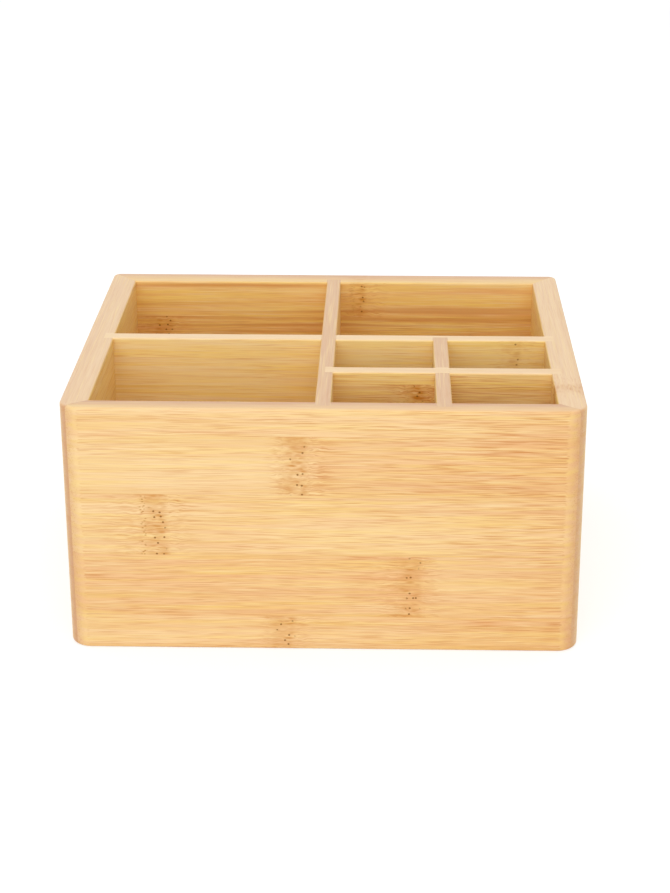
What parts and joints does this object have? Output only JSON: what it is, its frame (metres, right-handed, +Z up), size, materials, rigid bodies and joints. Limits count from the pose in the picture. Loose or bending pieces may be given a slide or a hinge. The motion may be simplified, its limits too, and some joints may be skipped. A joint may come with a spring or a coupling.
{
  "type": "storage organizer",
  "caption": "Open-topped bamboo organizer box with mitred walls and a grid of halved dividers that makes large and small upright compartments.",
  "frame": {"origin": "centre of the outline at the level of the bottom edge of the walls, on the surface that the box stands on", "axes": "+X to the right along the front wall, +Y from the front wall to the back wall, +Z up to the rim"},
  "size_m": [0.19, 0.152, 0.097],
  "materials": {
    "bamboo_walls": "satin clear lacquer on pale edge-glued bamboo",
    "bamboo_dividers": "satin clear lacquer on thin bamboo board",
    "bamboo_base": "smooth sanded bamboo board"
  },
  "bodies": {
    "root": {"front_panel": "bamboo_walls", "back_panel": "bamboo_walls", "left_panel": "bamboo_walls", "right_panel": "bamboo_walls", "base_panel": "bamboo_base", "centre_divider": "bamboo_dividers", "cross_divider": "bamboo_dividers", "small_cross_divider": "bamboo_dividers", "small_divider": "bamboo_dividers", "corner_spline_front_left": "bamboo_base", "corner_spline_front_right": "bamboo_base", "corner_spline_back_right": "bamboo_base", "corner_spline_back_left": "bamboo_base"}
  },
  "joints": []
}
